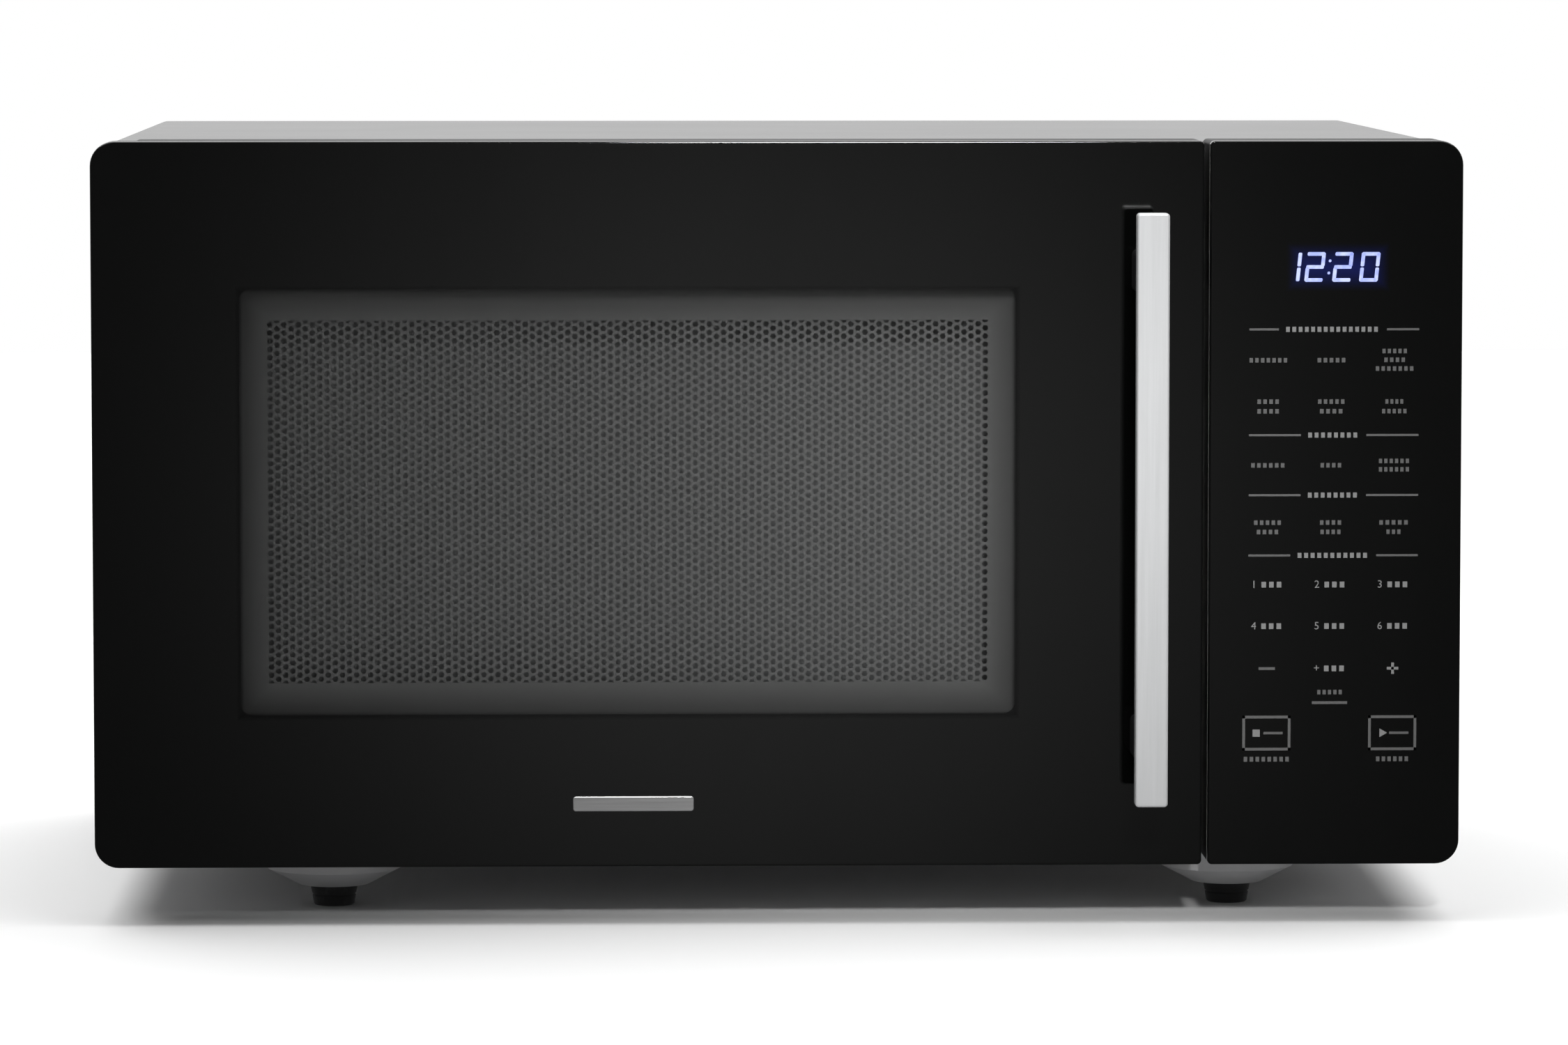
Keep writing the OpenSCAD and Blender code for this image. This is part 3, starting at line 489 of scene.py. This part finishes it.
def clock():
    """The lit time, 12:20."""
    starts = (("1", -19.1), ("2", -11.3), ("2", -2.1), ("0", 6.8))
    parts = [segment(letter, CLOCK_X + start * MM) for digit, start in starts
             for letter in SEGMENTS[digit]]
    parts += [leaning_bar(CLOCK_X - 3.9 * MM, CLOCK_Z + share * DIGIT_H, 0.9 * MM, 0.9 * MM)
              for share in (0.25, 0.66)]
    piece = join("clock_digits", parts)
    pick_edges(piece, lambda a, b: abs(a.y - b.y) > 0.05 * MM)
    bpy.ops.mesh.bevel(offset=0.35 * MM, segments=2, affect="EDGES")
    close_mesh()
    finish = Finish("clock_light", (0.1, 0.12, 0.2), 0.4, Emission_Strength=1.0)
    drift = finish.noise(500, 1).step(0.3, 0.7)
    finish.feed("Emission Color", finish.blend(drift, (0.32, 0.38, 0.95), (0.54, 0.60, 1.0)))
    return dress(piece, finish, "oven")


# ---------------------------------------------------------------- printed legends

# Distance between the key columns, and the ends of the rules, from the panel's middle
COLUMN = 20.9 * MM
RULE_LEFT = -27.2 * MM
RULE_RIGHT = 29.0 * MM
LINE = 0.9 * MM
RULE = 0.7 * MM
# Distance between the marks of a caption, as a share of their height, and their share of it
MARK_PITCH = 1.25
MARK_W = 0.6
# Heights above the face's lower edge: the first row of timed keys, the last one, the framed keys
TIMED_Z = 93.2 * MM
TIMED_STEP = 13.8 * MM
LAST_Z = 65.3 * MM
FRAMED_Z = 43.8 * MM


def stroke(x, z, width, height):
    """A printed bar, centred on a point of the panel."""
    piece = cube("stroke", (-width / 2, PRINT_Y[0], -height / 2), (width / 2, PRINT_Y[1], height / 2))
    piece.location = (PANEL_X + x, 0, BASE_Z + z)
    return settle(piece)


def caption(x, z, width, height=1.5 * MM):
    """A row of small upright marks where a line of words would be."""
    count = max(2, round(width / (MARK_PITCH * height)))
    pitch = width / count
    piece = stroke(x - width / 2 + pitch / 2, z, pitch * MARK_W, height)
    return repeat(piece, count, (pitch, 0, 0))


def polygon_print(x, z, radius, sides, turn):
    """A printed regular shape."""
    lay_down()
    bpy.ops.mesh.primitive_circle_add(vertices=sides, radius=radius, fill_type="NGON")
    piece = bpy.context.active_object
    open_mesh(piece, "SELECT")
    rise = {"value": (0, 0, PRINT_Y[1] - PRINT_Y[0])}
    bpy.ops.mesh.extrude_region_move(TRANSFORM_OT_translate=rise)
    close_mesh()
    outward(piece)
    piece.rotation_euler = (math.radians(90), math.radians(turn), 0)
    piece.location = (PANEL_X + x, PRINT_Y[1], BASE_Z + z)
    return settle(piece)


def numerals(body, x, z, height):
    """Printed numbers, centred on a point of the panel."""
    lay_down()
    bpy.ops.object.text_add()
    text = bpy.context.active_object
    text.data.body = body
    text.data.size = height / 0.7
    text.data.space_character = 1.15
    text.data.align_x = "CENTER"
    text.data.align_y = "CENTER"
    text.data.extrude = (PRINT_Y[1] - PRINT_Y[0]) / 2
    text.data.resolution_u = 3
    bpy.ops.object.convert(target="MESH")
    piece = bpy.context.active_object
    piece.rotation_euler = (math.radians(90), 0, 0)
    piece.location = (PANEL_X + x, sum(PRINT_Y) / 2, BASE_Z + z)
    return settle(piece)


def timed_key(sign, x, z):
    """A number or a plus sign with a few marks after it."""
    return [numerals(sign, x - 4.4 * MM, z, 2.5 * MM), caption(x + 1.4 * MM, z, 7.6 * MM, 1.9 * MM)]


def heading(z, left, right):
    """A heading with a rule on either side of it."""
    rules = [stroke((a + b) / 2, z, b - a, RULE)
             for a, b in ((RULE_LEFT, left - 2 * MM), (right + 2.6 * MM, RULE_RIGHT))]
    return rules, [caption((left + right) / 2, z, right - left, 1.7 * MM)]


def frame_print(x, z, width, height):
    """A printed rectangle round a key."""
    parts = [stroke(x, z + s * (height - LINE) / 2, width, LINE) for s in (-1, 1)]
    parts += [stroke(x + s * (width - LINE) / 2, z, LINE, height) for s in (-1, 1)]
    return parts


def ink(name, grey):
    """Screen-printed ink with a slightly uneven film."""
    finish = Finish(name, (grey, grey, grey), 0.55)
    film = finish.noise(1800, 3)
    light = (1.12 * grey, 1.12 * grey, 1.1 * grey)
    dark = (0.85 * grey, 0.85 * grey, 0.85 * grey)
    return finish.feed("Base Color", finish.blend(film, dark, light))


def legends():
    """Everything printed on the control panel: rules, headings, key marks and two framed keys."""
    dim, bright = [], []
    for z, left, right in ((177.8, -15.5, 15.7), (142.8, -8.0, 9.1), (122.9, -8.0, 9.1),
                           (102.9, -11.3, 12.6)):
        rules, words = heading(z * MM, left * MM, right * MM)
        dim += rules
        bright += words
    # Lines of key marks: column, height above the face's lower edge, width
    lines = ((-1, 167.6, 13.2), (0, 167.6, 10.0), (1, 170.6, 8.8), (1, 167.7, 7.6), (1, 164.8, 13.2),
             (-1, 153.9, 7.9), (-1, 150.7, 7.9), (0, 153.9, 9.5), (0, 150.7, 8.3), (1, 153.9, 6.6),
             (1, 150.7, 8.8), (-1, 132.8, 11.8), (0, 132.8, 7.6), (1, 134.2, 10.7), (1, 131.4, 10.7),
             (-1, 113.8, 9.7), (-1, 110.7, 7.9), (0, 113.8, 7.8), (0, 110.7, 7.4), (1, 113.8, 10.3),
             (1, 110.7, 5.4), (0, 57.4, 8.9))
    dim += [caption(column * COLUMN, z * MM, width * MM) for column, z, width in lines]
    for digit in range(6):
        x = (digit % 3 - 1) * COLUMN
        bright += timed_key(str(digit + 1), x, TIMED_Z - TIMED_STEP * (digit // 3))
    bright += timed_key("+", 0, LAST_Z)
    dim.append(stroke(-COLUMN, LAST_Z, 5.4 * MM, LINE))
    plus = 3.8 * MM
    bright += [stroke(COLUMN, LAST_Z, plus, LINE), stroke(COLUMN, LAST_Z, LINE, plus)]
    dim.append(stroke(0, 53.9 * MM, 11.7 * MM, LINE))
    for side, sides, turn in ((-1, 4, 45), (1, 3, 90)):
        x = side * COLUMN
        dim += frame_print(x, FRAMED_Z, 16.0 * MM, 11.6 * MM)
        dim.append(caption(x, FRAMED_Z - 8.7 * MM, (13.6 - 2.2 * side) * MM, 1.6 * MM))
        dim.append(stroke(x + 2.2 * MM, FRAMED_Z, 6.4 * MM, 0.8 * MM))
        bright.append(polygon_print(x - 3.4 * MM, FRAMED_Z, 1.7 * MM, sides, turn))
    for name, grey, parts in (("panel_print_dim", 0.075, dim), ("panel_print_bright", 0.16, bright)):
        dress(join(name, parts), ink(name + "_ink", grey), "oven")


# ---------------------------------------------------------------- handle and badge

def handle():
    """A satin bar with softly broken edges, on a dark plastic strip that carries it."""
    back_t = 1.6 * MM
    front = plate("handle_front_bar", bar_low, bar_high - Vector((0, back_t, 0)),
                  1.2 * MM, 1.2 * MM, 0.7 * MM)
    metal = brushed("handle_satin", (0.47, 0.475, 0.48), 0.42, along=2, metallic=0.4)
    dress(front, metal, "door", ["handle_bar"])
    inset = Vector((0.5 * MM, 0, 0.5 * MM))
    start = Vector((bar_low.x, bar_high.y - back_t, bar_low.z))
    strip = plate("handle_back_strip", start + inset, bar_high - inset, 1 * MM, 1 * MM, 0.3 * MM)
    dress(strip, moulded("handle_strip_black", (0.012, 0.012, 0.012), 0.4), "door")


def badge():
    """A plain satin bar under the window."""
    low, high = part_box("door_badge")
    piece = plate("door_badge_bar", low, high, 1 * MM, 1 * MM, 0.25 * MM)
    metal = brushed("badge_satin", (0.8, 0.8, 0.8), 0.3, along=0)
    dress(piece, metal, "door", ["door_badge"])


# ---------------------------------------------------------------- window screen

HOLE_PITCH = 2.7 * MM
WEB = 0.9 * MM
SHEET_T = 0.5 * MM
SIDE_MARGIN = 15 * MM
TOP_MARGIN = 17 * MM


def screen_cell(radius):
    """The six-sided web round one hole, level at its top and bottom."""
    lay_down()
    bpy.ops.mesh.primitive_circle_add(vertices=6, radius=radius, fill_type="NGON",
                                      rotation=(math.radians(90), math.radians(30), 0))
    cell = settle(bpy.context.active_object)
    open_mesh(cell, "SELECT")
    bpy.ops.mesh.inset(thickness=WEB / 2)
    bpy.ops.mesh.delete(type="FACE")
    close_mesh()
    return cell


def screen_border(middle, wide, tall):
    """A plain sheet with an opening of the given size, centred on its middle."""
    border = cube("screen_border", screen_low, screen_high)
    pick_faces(border, lambda centre, normal: abs(normal.y) > 0.9)
    bpy.ops.mesh.inset(thickness=SIDE_MARGIN)
    left = [screen_high[k] - screen_low[k] - 2 * SIDE_MARGIN for k in (0, 2)]
    bpy.ops.transform.resize(value=(wide / left[0], 1, tall / left[1]), center_override=middle)
    bpy.ops.mesh.bridge_edge_loops()
    close_mesh()
    return outward(border)


def screen():
    """A steel sheet pierced by six-sided holes, inside a plain border."""
    radius = HOLE_PITCH / math.sqrt(3)
    middle = (screen_low + screen_high) / 2
    pairs = int((screen_high.x - screen_low.x - 2 * SIDE_MARGIN) / (3 * radius))
    rows = int((screen_high.z - screen_low.z - 2 * TOP_MARGIN) / HOLE_PITCH)
    cell = screen_cell(radius)
    lattice = join("screen_lattice", [cell, copied(cell, (1.5 * radius, 0, HOLE_PITCH / 2))])
    repeat(lattice, pairs, (3 * radius, 0, 0))
    repeat(lattice, rows, (0, 0, HOLE_PITCH))
    open_mesh(lattice, "SELECT")
    bpy.ops.mesh.remove_doubles(threshold=0.01 * MM)
    close_mesh()
    modify(lattice, "SOLIDIFY", thickness=SHEET_T, offset=0)
    wide, tall = (3 * pairs - 1.5) * radius, (rows - 0.5) * HOLE_PITCH
    lattice.location = middle - Vector((wide / 2, 0, tall / 2))
    settle(lattice)
    border = screen_border(middle, wide - HOLE_PITCH, tall - HOLE_PITCH)
    piece = join("window_screen", [lattice, border])
    finish = powder_coat("screen_enamel", (0.13, 0.132, 0.13), 0.5)
    return dress(piece, finish, "door", ["door_screen"])


# ---------------------------------------------------------------- turntable

def tray():
    """The pressed glass tray: a flat foot, a raised rim and three shallow rings on its floor."""
    foot, inner, outer = 111.5 * MM, 110.5 * MM, (tray_high.x - tray_low.x) / 2
    under = coupler_top + 0.3 * MM
    floor, top = under + 4.2 * MM, tray_high.z
    profile = [(18 * MM, under), (foot, under), (outer - 4 * MM, under + 6.5 * MM),
               (outer - 0.6 * MM, under + 9.2 * MM), (outer, under + 10.2 * MM),
               (outer, top - 1.4 * MM), (outer - 0.6 * MM, top - 0.4 * MM), (outer - 1.7 * MM, top),
               (outer - 2.8 * MM, top - 0.5 * MM), (outer - 4 * MM, top - 1.6 * MM), (inner, floor)]
    for radius in (96, 68, 40):
        profile += [(radius * MM, floor), ((radius - 1) * MM, floor - 0.5 * MM),
                    ((radius - 5) * MM, floor - 0.5 * MM), ((radius - 6) * MM, floor)]
    centre = ((tray_low.x + tray_high.x) / 2, (tray_low.y + tray_high.y) / 2, 0)
    piece = turned("turntable_glass", centre, profile, 96)
    lugs = []
    for turn in (60, 180, 300):
        lug = cube("lug", (6.6 * MM, -1.5 * MM, tray_low.z + 0.05 * MM),
                   (15 * MM, 1.5 * MM, under + 0.1 * MM))
        lug.rotation_euler = (0, 0, math.radians(turn))
        lug.location = centre
        lugs.append(soften(settle(lug), 0.4 * MM))
    return dress(shade(join("turntable_glass", [piece] + lugs)), pressed_glass(), "tray",
                 ["glass_tray"])


def pressed_glass():
    """Clear pressed glass: see-through, faintly green, with slow waves from the mould."""
    finish = Finish("tray_glass", (0.80, 0.88, 0.87), 0.05, IOR=1.5)
    cloud = finish.noise(30, 3)
    finish.feed("Alpha", 0.30 + cloud * 0.08)
    return finish.bump(finish.noise(70, 2), 0.05 * MM, 0.4)


# ---------------------------------------------------------------- feet, screws, gland

def feet(name, node):
    """Two moulded feet: a tapered pad with a groove round it and a dished sole."""
    low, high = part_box(node)
    sole, height, neck = 7 * MM, 7.2 * MM, 3 * MM
    profile = [(3.6 * MM, 0.5 * MM), (4.2 * MM, 0), (sole - 0.6 * MM, 0), (sole - 0.1 * MM, 0.5 * MM),
               (sole + 0.35 * MM, 3.2 * MM), (sole + 0.15 * MM, 3.5 * MM), (sole + 0.2 * MM, 3.8 * MM),
               (sole + 0.5 * MM, 4.1 * MM), (sole + 1.0 * MM, height - 0.6 * MM),
               (sole + 0.8 * MM, height - 0.05 * MM), (neck, height - 0.05 * MM),
               (neck, height + 1.2 * MM), (4.3 * MM, height + 1.3 * MM), (2.6 * MM, height + 3.1 * MM)]
    flare = 1.1 * MM
    y = (low.y + high.y) / 2
    pair = [turned("foot", (x, y, 0), profile, 48)
            for x in (low.x + sole + flare, high.x - sole - flare)]
    piece = shade(join(name, pair), 35)
    return dress(piece, rubber(name + "_rubber", (0.018, 0.018, 0.019)), "oven", [node])


def screw_head(radius, height):
    """A pan head about the origin that looks along +Z, with a cross recess."""
    profile = [(radius, 0), (radius, height * 0.45), (radius * 0.93, height * 0.75),
               (radius * 0.72, height * 0.95), (radius * 0.4, height)]
    head = turned("head", (0, 0, 0), profile, 24)
    arms = [cube("arm", (-a, -b, height * 0.35), (a, b, height * 2))
            for a, b in ((radius * 0.52, radius * 0.11), (radius * 0.11, radius * 0.52))]
    for arm in arms:
        modify(head, "BOOLEAN", operation="DIFFERENCE", solver="EXACT", object=arm)
        take(arm)
        bpy.ops.object.delete()
    return head


def screws(name, places, turn, radius, height, body, node):
    """A set of like screws at their places, each with a short plain shank behind it."""
    head = screw_head(radius, height)
    shank = turned("shank", (0, 0, 0), [(radius * 0.44, -radius), (radius * 0.44, 0.05 * MM)], 16)
    screw = join("screw", [head, shank])
    copies = [copied(screw, place, turn) for place in places]
    take(screw)
    bpy.ops.object.delete()
    piece = shade(join(name, copies), 35)
    metal = brushed(name + "_zinc", (0.62, 0.62, 0.6), 0.32, along=0)
    return dress(piece, metal, body, [node])


def case_screws():
    """Eight screws in the rear flange: three down each side and two along the top."""
    low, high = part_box("case_screws")
    radius, height = 3.4 * MM, 1.8 * MM
    y = high.y - height
    sides = [(x, y, z) for x in (low.x + radius, high.x - radius) for z in (40 * MM, 140 * MM, 240 * MM)]
    top = [(x, y, high.z - radius) for x in (-90 * MM, 90 * MM)]
    return screws("rear_case_screws", sides + top, (math.radians(-90), 0, 0), radius, height, "oven",
                  "case_screws")


def gland():
    """A ribbed collar round the cord's hole at the back."""
    low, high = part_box("cord_gland")
    centre = (low + high) / 2
    bore, collar = 3.95 * MM, (high.x - low.x) / 2
    depth = high.y - low.y
    rim = [(collar - 0.5 * MM, depth - 3.8 * MM), (collar, depth - 3.4 * MM), (collar, depth - 2.6 * MM),
           (collar - 1.2 * MM, depth - 2.2 * MM), (collar - 1.2 * MM, depth - 1.6 * MM),
           (collar - 0.4 * MM, depth - 1.2 * MM), (collar - 0.7 * MM, depth - 0.3 * MM),
           (collar - 2.2 * MM, depth)]
    inner = [(8 * MM, 0), (8 * MM, 3.1 * MM), (8 * MM, depth - 3.9 * MM)]
    piece = turned("gland", (0, 0, 0), inner + rim + [(bore + 0.6 * MM, depth), (bore, depth - 0.6 * MM),
                                                      (bore, 0.2 * MM)], 48)
    piece.rotation_euler = (math.radians(-90), 0, 0)
    piece.location = (centre.x, low.y, centre.z)
    piece = shade(settle(piece), 35)
    piece.name = "cord_inlet_collar"
    return dress(piece, rubber("gland_rubber", (0.02, 0.02, 0.02), 0.6), "oven",
                 ["cord_gland"])


# ---------------------------------------------------------------- the frame's own nodes

def dress_frame():
    """Gives every node that stays in view its finish, by the record's material slots."""
    black = (0.012, 0.012, 0.013)
    finishes = {
        "case_paint": powder_coat("case_black", (0.016, 0.016, 0.017), 0.36),
        "zinc_sheet": galvanised("zinc_sheet", (0.62, 0.63, 0.64)),
        "base_coat": powder_coat("base_grey", (0.40, 0.40, 0.405), 0.45),
        "steel_screw": brushed("screw_zinc", (0.6, 0.6, 0.6), 0.35, along=2),
        "grey_enamel": enamel("cavity_enamel", (0.50, 0.50, 0.48), 0.32),
        "mica": moulded("mica_sheet", (0.56, 0.50, 0.38), 0.5, 0.05, 300),
        "clear_glass": clear_glass("inner_window", (0.40, 0.41, 0.41), 0.5, 0.15),
        "ceramic_white": moulded("lamp_holder_cream", (0.72, 0.69, 0.6), 0.5),
        "black_plastic": moulded("front_moulding_black", black, 0.5, Specular_IOR_Level=0.15),
        "choke_plastic": moulded("choke_moulding", (0.03, 0.03, 0.031), 0.45),
        "screen_metal": galvanised("door_pan_steel", (0.32, 0.32, 0.33), 0.4),
        "white_plastic": moulded("natural_nylon", (0.74, 0.73, 0.68), 0.42),
        "roller_plastic": moulded("roller_grey", (0.66, 0.66, 0.64), 0.45),
        "display_dark": moulded("display_block", (0.02, 0.022, 0.03), 0.3),
        "green_board": moulded("board_green", (0.02, 0.12, 0.05), 0.3, 0.03, 900),
        "core_steel": brushed("core_laminations", (0.2, 0.16, 0.13), 0.5, along=1, metallic=0.6),
        "black_part": moulded("component_black", (0.02, 0.02, 0.02), 0.4),
        "magnetron_metal": brushed("magnetron_plate", (0.6, 0.58, 0.54), 0.35, along=1),
        "can_aluminium": brushed("capacitor_can", (0.75, 0.76, 0.76), 0.3, along=0),
        "blade_plastic": moulded("fan_white", (0.7, 0.7, 0.67), 0.45),
        "duct_board": moulded("duct_card", (0.52, 0.5, 0.42), 0.7, 0.06, 700),
        "lever_plastic": moulded("lever_amber", (0.55, 0.26, 0.04), 0.38),
        "lead_silicone": rubber("lead_red", (0.36, 0.02, 0.015), 0.5),
    }
    replaced = {"black_rubber", "satin_aluminium", "black_glass"}
    for part in frame["record"]["subparts"]:
        slot = part["material_slot"]
        if slot in replaced:
            continue
        node = frame["nodes"][part["node"]]
        node.data.materials.clear()
        node.data.materials.append(finishes[slot].material)


# ---------------------------------------------------------------- studio

# Strengths of the world's light: on rough faces, in front as polished faces see it, and its glow
AMBIENT = 0.25
FRONT = 0.08
GLOW = 0.36
# The direction of that glow, and its width
GLOW_X = 0.025
GLOW_Z = -0.072
GLOW_W = 0.105


def camera():
    """A long lens, a little higher than the oven and a little to its left."""
    data = bpy.data.cameras.new("camera")
    data.lens = 165.4
    data.sensor_width = 36
    eye = bpy.data.objects.new("camera", data)
    bpy.context.scene.collection.objects.link(eye)
    eye.location = (-0.0656, -2.5227, 0.3209)
    eye.rotation_euler = (math.radians(90 - 4.51), 0, math.radians(-1.63))
    bpy.context.scene.camera = eye


def light(kind, name, place, target, power, **settings):
    data = bpy.data.lights.new(name, kind)
    data.energy = power
    for key, value in settings.items():
        setattr(data, key, value)
    made = bpy.data.objects.new(name, data)
    bpy.context.scene.collection.objects.link(made)
    made.location = place
    made.rotation_euler = (Vector(target) - Vector(place)).to_track_quat("-Z", "Y").to_euler()


class Sky:
    """The world's light, as plain arithmetic on the direction of a ray."""

    def __init__(self):
        world = bpy.data.worlds.new("studio")
        bpy.context.scene.world = world
        world.use_nodes = True
        self.tree = world.node_tree

    node = Finish.node

    def light(self, value):
        self.tree.links.new(value.socket, self.tree.nodes["Background"].inputs["Color"])


def surroundings():
    """White to the eye. Polished faces see white behind the oven and a dim glow in front of it."""
    sky = Sky()
    eye, polished = (sky.node("ShaderNodeLightPath", out=name)
                     for name in ("Is Camera Ray", "Is Glossy Ray"))
    whole = sky.node("ShaderNodeTexCoord", out="Generated")
    across, depth, up = (sky.node("ShaderNodeSeparateXYZ", inputs=(whole,), out=k) for k in range(3))
    back = depth.step(-0.5, 0.7) * up.step(-0.15, 0.0)
    off_x, off_z = across - GLOW_X, up - GLOW_Z
    glow = 1 - (off_x * off_x + off_z * off_z).maths("SQRT").step(0.0, GLOW_W)
    front = (1 - depth.step(-0.99, -0.85)) * glow * GLOW + FRONT
    seen = back + (1 - back) * front
    sky.light(eye + (1 - eye) * (polished * seen + (1 - polished) * AMBIENT))


def floor():
    """A pale matt ground that polished faces don't mirror."""
    lay_down()
    bpy.ops.mesh.primitive_plane_add(size=1, location=(0, 0.6, 0))
    ground = bpy.context.active_object
    ground.name = "studio_floor"
    ground.scale = (9, 5.4, 1)
    settle(ground)
    ground.visible_glossy = False
    finish = Finish("studio_white", (0.92, 0.92, 0.92), 0.9)
    tone = finish.noise(0.8, 2)
    finish.feed("Base Color", finish.blend(tone, (0.91, 0.91, 0.91), (0.93, 0.93, 0.93)))
    ground.data.materials.append(finish.material)


def studio():
    """Broad light from above, two soft lights in front, and a soft spot on the window and handle."""
    bpy.context.scene.view_settings.view_transform = "Standard"
    surroundings()
    floor()
    light("AREA", "overhead", (0, 1.9, 4.5), (0, 1.9, 0), 500, shape="RECTANGLE", size=8, size_y=8)
    for side in (-1, 1):
        light("AREA", "front_soft", (side * 1.1, -1.9, 2.0), (0, 0, 0.12), 3.5,
              shape="RECTANGLE", size=1.2, size_y=0.8)
    light("SPOT", "window_pool", (0.12, -2.3, 1.15), (0.07, -0.12, 0.135), 290,
          spot_size=math.radians(9.0), spot_blend=0.6, shadow_soft_size=0.16)


# ---------------------------------------------------------------- everything

camera()
studio()
dress_frame()
door_front()
panel_front()
clock()
legends()
handle()
badge()
screen()
tray()
feet("front_foot_pair", "front_feet")
feet("rear_foot_pair", "rear_feet")
case_screws()
gland()
